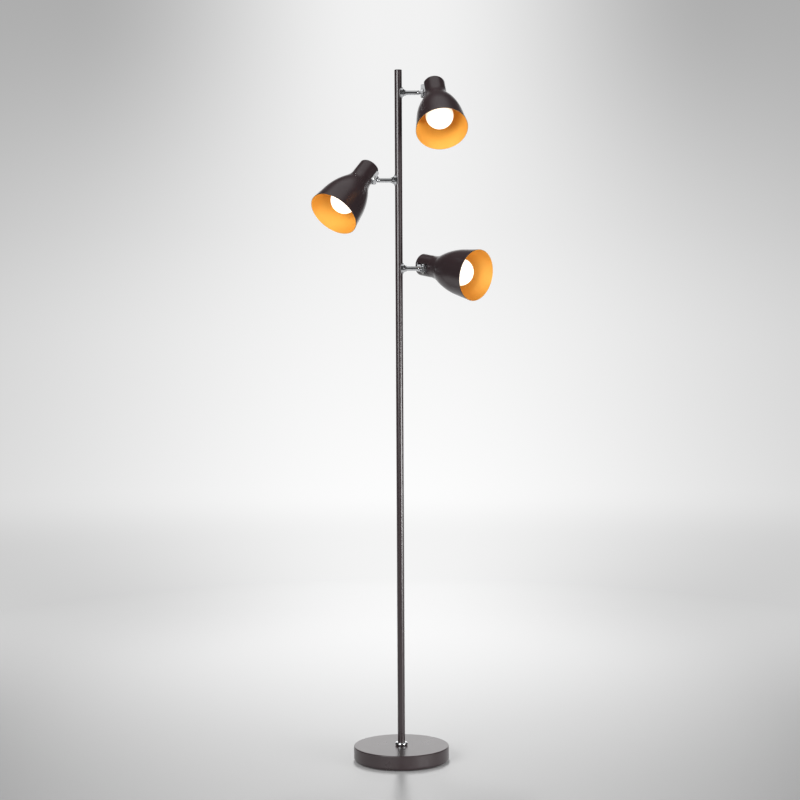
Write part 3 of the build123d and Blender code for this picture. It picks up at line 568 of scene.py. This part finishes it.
def opal_globe(name):
    """Round bulb: globe and neck in one skin, the neck running into the globe on one arc."""
    drop = GLOBE_CENTRE - GLASS_NECK_END
    bend = (GLASS_NECK_RADIUS**2 + drop**2 - GLOBE_RADIUS**2) / (2 * (GLOBE_RADIUS - GLASS_NECK_RADIUS))
    share = GLOBE_RADIUS / (bend + GLOBE_RADIUS)
    meet = ((GLASS_NECK_RADIUS + bend) * share, GLOBE_CENTRE - drop * share)
    neck = (GLASS_NECK_RADIUS, GLASS_NECK_END)
    shoulder, ahead = arc(neck, (0, 1), meet, steps=14)
    globe, _ = arc(meet, ahead, (0, GLOBE_CENTRE + GLOBE_RADIUS), steps=40)
    foot = CAP_END - 1
    outline = [(0, foot), (GLASS_NECK_RADIUS, foot), neck] + shoulder + globe
    return spin(f"{name}_opal_globe", outline, OPAL_GLASS, segments=96)


def steps_between(low, high, pitch):
    """Heights from low to high, close enough together to draw a thread of that pitch."""
    count = math.ceil((high - low) / pitch * THREAD_STEPS)
    return [low + (high - low) * step / count for step in range(count + 1)]


def bulb_screw_cap(name):
    """Pressed screw cap with its rolled thread and centre contact."""
    radius = CAP_RADIUS - CAP_THREAD_DEPTH
    bevel = 3
    thread_start = CAP_START + 4
    thread_end = CAP_END - 2
    thread = [(radius, height) for height in steps_between(thread_start, thread_end, CAP_THREAD_PITCH)]
    contact = CAP_START - CAP_CONTACT_HEIGHT
    outline = rounded([(0, contact, 0), (CAP_CONTACT_RADIUS, contact, 0.5),
                       (CAP_CONTACT_RADIUS, CAP_START, 0), (CAP_RADIUS - bevel, CAP_START, 0.8),
                       (radius, CAP_START + bevel, 0)])
    outline += [Vector(point) for point in thread]
    outline += rounded([(radius, thread_end, 0), (radius, CAP_END, 0.2), (GLASS_NECK_RADIUS - 1, CAP_END, 0),
                        (0, CAP_END, 0)])[1:]
    thread_size = (CAP_THREAD_PITCH, CAP_THREAD_DEPTH, thread_start, thread_end)
    return spin(f"{name}_bulb_screw_cap", outline, ALUMINIUM, thread=thread_size)


def lampholder_body(name):
    """Moulded lampholder: body, shoulder and threaded skirt, open towards the bulb."""
    radius = HOLDER_THREAD_RADIUS - HOLDER_THREAD_DEPTH
    thread_end = HOLDER_END - 12
    thread = [(radius, height) for height in steps_between(NECK_LENGTH, thread_end, HOLDER_THREAD_PITCH)]
    bevel = 2
    plain = HOLDER_RADIUS - bevel
    shoulder = NECK_LENGTH - 2
    outline = rounded([(HOLDER_SCREW_BORE, HOLDER_BACK, 0), (plain, HOLDER_BACK, 0.6),
                       (HOLDER_RADIUS, HOLDER_BACK + bevel, 0.6), (HOLDER_RADIUS, shoulder, 0),
                       (HOLDER_SHOULDER_RADIUS, shoulder, 0.3),
                       (HOLDER_SHOULDER_RADIUS, NECK_LENGTH, 0.3), (radius, NECK_LENGTH, 0)])
    outline += [Vector(point) for point in thread[1:]]
    outline += rounded([(radius, thread_end, 0), (plain, thread_end + bevel, 0.6), (plain, HOLDER_END, 0.8),
                        (HOLDER_BORE, HOLDER_END, 0.8), (HOLDER_BORE, HOLDER_FLOOR, 0.6),
                        (HOLDER_SCREW_BORE, HOLDER_FLOOR, 0), (HOLDER_SCREW_BORE, HOLDER_BACK, 0)])[1:]
    thread_size = (HOLDER_THREAD_PITCH, HOLDER_THREAD_DEPTH, NECK_LENGTH, thread_end)
    return spin(f"{name}_lampholder_body", outline, WHITE_THERMOSET, thread=thread_size)


def ring_nut(name):
    """Moulded ring nut that clamps the shade, with grip ribs round its edge."""
    body = RING_RADIUS - RING_RIB_RADIUS
    low = NECK_LENGTH + SHADE_WALL
    high = low + RING_LENGTH
    outline = rounded([(HOLDER_THREAD_RADIUS, low, 0), (body, low, 0.3), (body, high, 0.8),
                       (HOLDER_THREAD_RADIUS, high, 0), (HOLDER_THREAD_RADIUS, low, 0)])
    piece = spin(f"{name}_ring_nut", outline, WHITE_THERMOSET)
    grow(piece, GRIP_RIBS, {
        "Count": RING_RIBS, "Ring Radius": body * MM, "Rib Radius": RING_RIB_RADIUS * MM,
        "Rib Length": (RING_LENGTH - 1) * MM, "Rib Middle": (low + high) / 2 * MM,
        "Material": WHITE_THERMOSET})
    return piece


# ---- Screws and nuts ---------------------------------------------------------------------------
def cross_recess(piece, top, span, depth):
    """Cuts a cross recess for a screwdriver into a head whose top lies at that height and looks
    down -Z. The recess narrows as it goes down. All sizes are in mm."""
    width = span * 0.24
    above = 0.5
    floor_share = 0.55
    for turn in (0, 90):
        corners = []
        for height, share in ((top - above, 1.0), (top + depth, floor_share)):
            x = span / 2 * share
            y = width / 2 * share
            corners += [(-x, -y, height), (x, -y, height), (x, y, height), (-x, y, height)]
        faces = [(3, 2, 1, 0), (4, 5, 6, 7), (0, 1, 5, 4), (1, 2, 6, 5), (2, 3, 7, 6), (3, 0, 4, 7)]
        cutter = mesh_piece("recess", corners, (), faces)
        cutter.data.transform(Matrix.Rotation(math.radians(turn), 4, "Z"))
        combine(piece, cutter, "DIFFERENCE")


def headed_screw(name, radius, end, head_radius, dome, under_head=0.0, thread_start=0.0):
    """A machine screw along Z. Its domed head looks down -Z and ends at the height under_head, and its
    thread runs from thread_start to its end. dome is the rounding of the head's edge, all in mm."""
    core = radius - SCREW_THREAD_DEPTH
    thread_end = end - SCREW_CHAMFER
    thread = [(core, height) for height in steps_between(thread_start, thread_end, SCREW_PITCH)]
    top = under_head - SCREW_HEAD
    flat_radius = head_radius * 0.45
    dome_foot = under_head - SCREW_HEAD * 0.85
    run_out = 0.3
    outline = rounded([(0, top, 0), (flat_radius, top, 0), (head_radius, dome_foot, dome),
                       (head_radius, under_head, 0.15), (radius, under_head, 0),
                       (radius, thread_start - run_out, 0), (core, thread_start, 0)])
    outline += [Vector(point) for point in thread[1:]]
    outline += [Vector((core - SCREW_CHAMFER, end)), Vector((0, end))]
    thread_size = (SCREW_PITCH, SCREW_THREAD_DEPTH, thread_start, thread_end)
    piece = spin(name, outline, CHROME, segments=48, thread=thread_size)
    cross_recess(piece, top, span=head_radius * 1.15, depth=SCREW_HEAD * 0.6)
    return piece


def hexagon_nut(name):
    """Pressed nut of the tilt pin: six flats, its corners turned off at both faces."""
    low, high = EAR_OUTER, EAR_OUTER + PIN_NUT
    corner = PIN_NUT_FLATS / math.sqrt(3)
    face = PIN_NUT_FLATS / 2 - 0.1
    blank = corner + 0.1
    chamfer = 0.35
    outline = rounded([(PIN_RADIUS, low, 0), (face, low, 0), (blank, low + chamfer, 0),
                       (blank, high - chamfer, 0), (face, high, 0), (PIN_RADIUS, high, 0),
                       (PIN_RADIUS, low, 0)])
    piece = spin(name, outline, ZINC, segments=96, sharp=20)
    angles = [math.radians(60 * side) for side in range(6)]
    corners = [(corner * math.cos(angle), corner * math.sin(angle), height)
               for height in (low - 1, high + 1) for angle in angles]
    faces = [tuple(range(5, -1, -1)), tuple(range(6, 12))]
    faces += [(side, (side + 1) % 6, (side + 1) % 6 + 6, side + 6) for side in range(6)]
    combine(piece, mesh_piece("hexagon", corners, (), faces), "INTERSECT")
    return piece


# ---- Base --------------------------------------------------------------------------------------
def ribbed_pad():
    """Rubber pad with ring-shaped grip ribs underneath."""
    radius = PAD_RADIUS - PAD_RIM
    outline = [Vector((0, PAD_THICKNESS)), Vector((PAD_RADIUS, PAD_THICKNESS))]
    outline += rounded([(PAD_RADIUS, PAD_THICKNESS, 0), (PAD_RADIUS, 0, 0.8), (radius, 0, 0)])[1:]
    while radius > PAD_CENTRE:
        inner = radius - PAD_GROOVE
        outline += [Vector((radius - PAD_GROOVE_DRAFT, PAD_GROOVE_DEPTH)),
                    Vector((inner + PAD_GROOVE_DRAFT, PAD_GROOVE_DEPTH)),
                    Vector((inner, 0)), Vector((inner - PAD_RIB, 0))]
        radius -= PAD_GROOVE + PAD_RIB
    outline.append(Vector((0, 0)))
    return spin("ribbed_rubber_pad", outline, RUBBER, segments=160)


# ---- Putting the lamp together -----------------------------------------------------------------
def head_places():
    """Each head's frame at rest, from its joints: Z along the head, X towards the slot, Y along the
    tilt pin."""
    joints = {joint["name"]: joint for joint in frame["joints"]}
    places = {}
    for name in HEADS:
        tilt = joints[f"{name}_head_tilt"]
        arm = Vector(joints[f"{name}_arm_roll"]["axis"])
        pin = Vector(tilt["axis"])
        turn = Matrix.Rotation(-math.radians(tilt["range_deg"][0]), 3, pin)
        along = turn @ arm
        slot = -(turn @ arm.cross(pin))
        corner = Vector(tilt["pos_m"]) - (along * PIN_BACK + slot * PIN_OFFSET) * MM
        places[name] = Matrix.Translation(corner) @ Matrix((slot, pin, along)).transposed().to_4x4()
    return places


def build_heads():
    """Every modelled piece of the three heads."""
    pin_middle = Matrix.Translation((PIN_OFFSET * MM, 0, PIN_BACK * MM))
    along_pin = pin_middle @ Matrix.Rotation(-math.pi / 2, 4, "X")
    for name, place in head_places().items():
        body = f"{name}_head"
        stand_for(bell_shade(name), f"{name}_shade", body, place)
        stand_for(opal_globe(name), f"{name}_bulb_glass", body, place)
        stand_for(bulb_screw_cap(name), f"{name}_bulb_cap", body, place)
        stand_for(lampholder_body(name), f"{name}_lampholder", body, place)
        stand_for(ring_nut(name), f"{name}_shade_ring", body, place)
        neck_screw = headed_screw(f"{name}_neck_screw", NECK_SCREW_RADIUS, NECK_SCREW_END,
                                  head_radius=4.0, dome=1.4, thread_start=4.0)
        stand_for(neck_screw, f"{name}_cup_screw", body, place)
        pin_screw = headed_screw(f"{name}_pin_screw", PIN_RADIUS, EAR_OUTER + PIN_NUT + PIN_PROUD,
                                 head_radius=3.6, dome=1.2, under_head=-EAR_OUTER, thread_start=EAR_OUTER)
        stand_for(pin_screw, f"{name}_hinge_screw", body, place @ along_pin)
        stand_for(hexagon_nut(f"{name}_pin_nut"), f"{name}_hinge_nut", body, place @ along_pin)


def dress(nodes, material):
    """Gives CAD nodes a material."""
    for name in nodes:
        slots = frame["nodes"][name].data.materials
        slots.clear()
        slots.append(material)


def dress_frame():
    """Materials for the CAD nodes that show as they are."""
    dress(["base_cover", "lower_pole", "middle_pole", "upper_pole"], POWDER_COAT)
    dress(["base_weight"], IRON)
    dress(["cord_bush", "pole_cap"], BLACK_NYLON)
    dress(["foot_collar"], CHROME)
    dress(["foot_bush", "foot_stud", "foot_washer", "foot_nut", "pole_couplers"], ZINC)
    dress(["inner_flex"], LEAD_SHEATH)
    for name in HEADS:
        dress([f"{name}_neck_cup"], POWDER_COAT)
        dress([f"{name}_rosette", f"{name}_arm", f"{name}_hinge_bracket"], CHROME)
        dress([f"{name}_arm_bearing"], BRASS)
        dress([f"{name}_arm_clip"], ZINC)
        dress([f"{name}_arm_lead"], LEAD_SHEATH)


# ---- Studio, in metres -------------------------------------------------------------------------
# A level of 1 is white in the picture.
WALL_RADIUS = 6.0
WALL_HEIGHT = 7.0
WALL_LOW = 0.975              # level of the wall straight behind the lamp, at the floor
WALL_HIGH = 0.885             # and from 1.4 m up
LOW_LOSS = 0.27               # share of it that is lost to the sides near the floor
HIGH_LOSS = 0.53              # and from 2.7 m up
FLOOR_FOOT = 0.5              # level of the floor at the lamp
FLOOR_BACK = 0.93             # and well behind it
LIT_FLOOR = 0.52              # what the lamps alone give the near floor
FLOOR_PAINT = 0.4
FLOOR_GLOSS = 0.15
ROOM_LIGHT = 0.2


def wall_levels(tree, where):
    """How bright the wall and the far floor look in each direction from the lamp: palest behind it
    and dimmer to the sides and upwards, the same from all four sides."""
    place = add_node(tree, "ShaderNodeSeparateXYZ", {0: where}).outputs
    # aside is 0 straight behind the lamp and on its other three sides, and 0.5 halfway between them
    across = add_node(tree, "ShaderNodeMath", {0: place["X"], 1: place["Y"]}, operation="MULTIPLY")
    across = add_node(tree, "ShaderNodeMath", {0: across}, operation="ABSOLUTE")
    flat = add_node(tree, "ShaderNodeCombineXYZ", {"X": place["X"], "Y": place["Y"]})
    squares = add_node(tree, "ShaderNodeVectorMath", {0: flat, 1: flat}, operation="DOT_PRODUCT")
    aside = add_node(tree, "ShaderNodeMath", {0: across, 1: squares.outputs["Value"]}, operation="DIVIDE")
    # near the floor the light falls off gently and then settles, and higher up it falls off sooner
    low_fall = add_node(tree, "ShaderNodeMath", {0: aside, 1: 2.0}, operation="POWER")
    low_fall = add_node(tree, "ShaderNodeMapRange", {
        "Value": low_fall, "From Max": 0.19, "To Min": 1.0, "To Max": 0.0})
    low_fall = add_node(tree, "ShaderNodeMath", {0: low_fall, 1: 2.0}, operation="POWER")
    low_fall = add_node(tree, "ShaderNodeMapRange", {"Value": low_fall, "To Min": 1.2, "To Max": 0.0})
    high_fall = add_node(tree, "ShaderNodeMapRange", {
        "Value": aside, "From Min": 0.017, "From Max": 0.283}, interpolation_type="SMOOTHSTEP")
    height = add_node(tree, "ShaderNodeMapRange", {
        "Value": place["Z"], "From Min": 0.7, "From Max": 2.7}, interpolation_type="SMOOTHSTEP")
    fall = add_node(tree, "ShaderNodeMix", {"Factor": height, "A": low_fall, "B": high_fall})
    most = add_node(tree, "ShaderNodeMapRange", {"Value": height, "To Min": LOW_LOSS, "To Max": HIGH_LOSS})
    middle = add_node(tree, "ShaderNodeMapRange", {
        "Value": place["Z"], "From Max": 1.4, "To Min": WALL_LOW, "To Max": WALL_HIGH})
    loss = add_node(tree, "ShaderNodeMath", {0: fall, 1: most}, operation="MULTIPLY")
    kept = add_node(tree, "ShaderNodeMath", {0: 1.0, 1: loss}, operation="SUBTRACT")
    return add_node(tree, "ShaderNodeMath", {0: middle, 1: kept}, operation="MULTIPLY")


def studio_wall():
    """Round wall and ceiling that give no light themselves. Polished parts see it bright behind the
    lamp and overhead, and dark elsewhere, as in a studio with black screens."""
    rows = 12
    points = []
    for row in range(rows + 1):
        angle = math.pi / 2 * row / rows
        points.append((WALL_RADIUS * math.cos(angle), 0, WALL_HEIGHT * math.sin(angle)))
    shape = bmesh.new()
    corners = [shape.verts.new(point) for point in points]
    edges = [shape.edges.new(pair) for pair in zip(corners, corners[1:])]
    bmesh.ops.spin(shape, geom=corners + edges, axis=(0, 0, 1), cent=(0, 0, 0), steps=96,
                   angle=2 * math.pi)
    bmesh.ops.remove_doubles(shape, verts=shape.verts, dist=0.1 * MM)
    for face in shape.faces:
        face.smooth = True
    mesh = bpy.data.meshes.new("studio_wall")
    shape.to_mesh(mesh)
    shape.free()
    wall = new_object("studio_wall", mesh)
    wall.visible_diffuse = False
    wall.visible_shadow = False
    material, tree, shader, where = new_material("painted_studio_wall")
    place = add_node(tree, "ShaderNodeSeparateXYZ", {0: where}).outputs
    behind = add_node(tree, "ShaderNodeMapRange", {
        "Value": place["Y"], "From Min": 4.5, "From Max": 5.8, "To Min": 0.05, "To Max": 1.5},
        interpolation_type="SMOOTHSTEP")
    overhead = add_node(tree, "ShaderNodeMapRange", {
        "Value": place["Z"], "From Min": 5.5, "From Max": 6.6, "To Max": 0.7},
        interpolation_type="SMOOTHSTEP")
    mirrored = add_node(tree, "ShaderNodeMath", {0: behind, 1: overhead}, operation="MAXIMUM")
    path = add_node(tree, "ShaderNodeLightPath").outputs
    level = add_node(tree, "ShaderNodeMix", {
        "Factor": path["Is Camera Ray"], "A": mirrored, "B": wall_levels(tree, where)})
    set_inputs(tree, shader, {"Base Color": srgb("#000000"), "Specular IOR Level": 0.0,
                              "Emission Color": srgb("#FFFFFF"), "Emission Strength": level})
    mesh.materials.append(material)


def studio_floor():
    """Pale floor that is brighter behind the lamp, by a painted pool of light in its glow, and runs into the
    wall without an edge.
    """
    shape = bmesh.new()
    bmesh.ops.create_circle(shape, cap_ends=True, segments=96, radius=WALL_RADIUS)
    mesh = bpy.data.meshes.new("studio_floor")
    shape.to_mesh(mesh)
    shape.free()
    ground = new_object("studio_floor", mesh)
    material, tree, shader, where = new_material("pale_studio_floor")
    place = add_node(tree, "ShaderNodeSeparateXYZ", {0: where}).outputs
    # the glow paints a pool of light: near the lamp the floor is darkest just before its foot, paler from
    # there to the wall, where depth is the distance in metres, and dimmer to the sides
    depth = add_node(tree, "ShaderNodeMath", {0: place["Y"], 1: 0.35}, operation="ADD")
    depth = add_node(tree, "ShaderNodeMath", {0: depth}, operation="ABSOLUTE")
    # from 0.9 m to the side, the distance to that side counts as depth too
    spread = add_node(tree, "ShaderNodeMath", {0: place["X"]}, operation="ABSOLUTE")
    spread = add_node(tree, "ShaderNodeMath", {0: spread, 1: 1.5, 2: -1.35}, operation="MULTIPLY_ADD")
    depth = add_node(tree, "ShaderNodeMath", {0: depth, 1: spread}, operation="MAXIMUM")
    painted_light_pool = add_node(tree, "ShaderNodeMapRange", {
        "Value": depth, "From Min": -0.75, "From Max": 2.25, "To Min": FLOOR_FOOT, "To Max": FLOOR_BACK},
        interpolation_type="SMOOTHSTEP")
    width = add_node(tree, "ShaderNodeMapRange", {
        "Value": depth, "From Max": 4.0, "To Min": 0.82, "To Max": 1.68})
    # side is about 1 where the picture ends, and the loss is held beyond it for views from elsewhere
    side = add_node(tree, "ShaderNodeMath", {0: place["X"], 1: width}, operation="DIVIDE")
    side = add_node(tree, "ShaderNodeMath", {0: side}, operation="ABSOLUTE")
    side = add_node(tree, "ShaderNodeMath", {0: side, 1: 1.05}, operation="MINIMUM")
    side = add_node(tree, "ShaderNodeMath", {0: side, 1: 1.6}, operation="POWER")
    side = add_node(tree, "ShaderNodeMapRange", {"Value": side, "To Min": 1.0, "To Max": 0.655}, clamp=False)
    near = add_node(tree, "ShaderNodeMath", {0: painted_light_pool, 1: side}, operation="MULTIPLY")
    # further away it takes the wall's levels, so that the two meet without a line
    away = add_node(tree, "ShaderNodeVectorMath", {0: where}, operation="LENGTH").outputs["Value"]
    oval = add_node(tree, "ShaderNodeVectorMath", {0: where, 1: (1.35, 1, 1)}, operation="MULTIPLY")
    oval = add_node(tree, "ShaderNodeVectorMath", {0: oval}, operation="LENGTH").outputs["Value"]
    far = add_node(tree, "ShaderNodeMapRange", {"Value": oval, "From Min": 1.3, "From Max": 2.7},
                   interpolation_type="SMOOTHSTEP")
    seam = add_node(tree, "ShaderNodeMapRange", {
        "Value": away, "From Min": 3.8, "From Max": 5.6, "To Min": 0.93, "To Max": 1.0},
        interpolation_type="SMOOTHSTEP")
    distant = add_node(tree, "ShaderNodeMath", {0: wall_levels(tree, where), 1: seam}, operation="MULTIPLY")
    level = add_node(tree, "ShaderNodeMix", {"Factor": far, "A": near, "B": distant})
    # the lamps already light the near floor, so the glow adds only the rest
    lit = add_node(tree, "ShaderNodeMapRange", {"Value": far, "To Min": LIT_FLOOR, "To Max": 0.0})
    rest = add_node(tree, "ShaderNodeMath", {0: level, 1: lit}, operation="SUBTRACT")
    # polished parts mirror the floor before the lamp dark, as under a black screen
    front = add_node(tree, "ShaderNodeMapRange", {
        "Value": place["Y"], "From Min": -1.5, "From Max": -0.4, "To Min": 0.1},
        interpolation_type="SMOOTHSTEP")
    mirrored = add_node(tree, "ShaderNodeMath", {0: rest, 1: front}, operation="MULTIPLY")
    path = add_node(tree, "ShaderNodeLightPath").outputs
    glow = add_node(tree, "ShaderNodeMix", {"Factor": path["Is Camera Ray"], "A": mirrored, "B": rest})
    # the glow is for the eye and for mirrors, and lights nothing
    direct = add_node(tree, "ShaderNodeMath", {0: 1.0, 1: path["Is Diffuse Ray"]}, operation="SUBTRACT")
    glow = add_node(tree, "ShaderNodeMath", {0: glow, 1: direct}, operation="MULTIPLY")
    # the paint fades out as well, so that no lamp draws a line on the far floor
    paint = add_node(tree, "ShaderNodeMapRange", {"Value": far, "To Min": FLOOR_PAINT, "To Max": 0.0})
    gloss = add_node(tree, "ShaderNodeMapRange", {"Value": far, "To Min": FLOOR_GLOSS, "To Max": 0.0})
    set_inputs(tree, shader, {"Base Color": paint, "Roughness": 0.6, "Specular IOR Level": gloss,
                              "Emission Color": srgb("#FFFFFF"), "Emission Strength": glow})
    mesh.materials.append(material)


def softbox(name, place, target, width, height, level, in_gloss=True):
    """A rectangular lamp of that brightness, aimed at a point and not seen itself. in_gloss says
    whether polished parts mirror it."""
    light = bpy.data.lights.new(name, "AREA")
    light.shape = "RECTANGLE"
    light.size = width
    light.size_y = height
    light.energy = level * math.pi * width * height
    lamp = new_object(name, light)
    lamp.location = place
    lamp.rotation_euler = (Vector(target) - Vector(place)).to_track_quat("-Z", "Y").to_euler()
    lamp.visible_camera = False
    lamp.visible_glossy = in_gloss


def studio():
    """Wall, floor, lamps and the even light of the room."""
    studio_wall()
    studio_floor()
    heads, foot = (0, 0, 1.2), (0, 0, 0.5)
    softbox("left_window", (-1.6, -2.55, 1.65), heads, width=2.0, height=1.7, level=8.0)
    softbox("right_low_window", (2.4, -1.7, 0.42), foot, width=1.7, height=0.7, level=17.0)
    softbox("right_fill", (2.2, -2.0, 1.7), heads, width=1.4, height=1.4, level=1.0)
    softbox("top_strip", (0, 1.4, 3.3), (0, 0, 0.3), width=0.14, height=2.0, level=130.0, in_gloss=False)
    world = bpy.data.worlds.new("studio_air")
    world.use_nodes = True
    tree = world.node_tree
    set_inputs(tree, tree.nodes["Background"], {"Color": srgb("#F4F4F5"), "Strength": ROOM_LIGHT})
    bpy.context.scene.world = world
    bpy.context.scene.view_settings.view_transform = "Standard"


# ---- Camera ------------------------------------------------------------------------------------
def camera():
    """The photograph's view: 4.1 m away and 1 m up, through a long lens, 3 degrees down."""
    eye = (0.0006, -4.1, 1.023)
    pitch = math.radians(3.115)
    roll = math.radians(0.289)
    frame_px = 800
    focal_px = 1873
    data = bpy.data.cameras.new("camera")
    data.sensor_width = 36.0
    data.lens = data.sensor_width * focal_px / frame_px
    level = Vector((1, 0, 0))
    forward = Vector((0, math.cos(pitch), -math.sin(pitch)))
    upright = level.cross(forward)
    right = level * math.cos(roll) - upright * math.sin(roll)
    up = upright * math.cos(roll) + level * math.sin(roll)
    turn = Matrix((right, up, -forward)).transposed().to_4x4()
    seen_from = new_object("camera", data)
    seen_from.matrix_world = Matrix.Translation(eye) @ turn
    bpy.context.scene.camera = seen_from


camera()
studio()
dress_frame()
build_heads()
stand_for(ribbed_pad(), "base_pad", "root", Matrix())
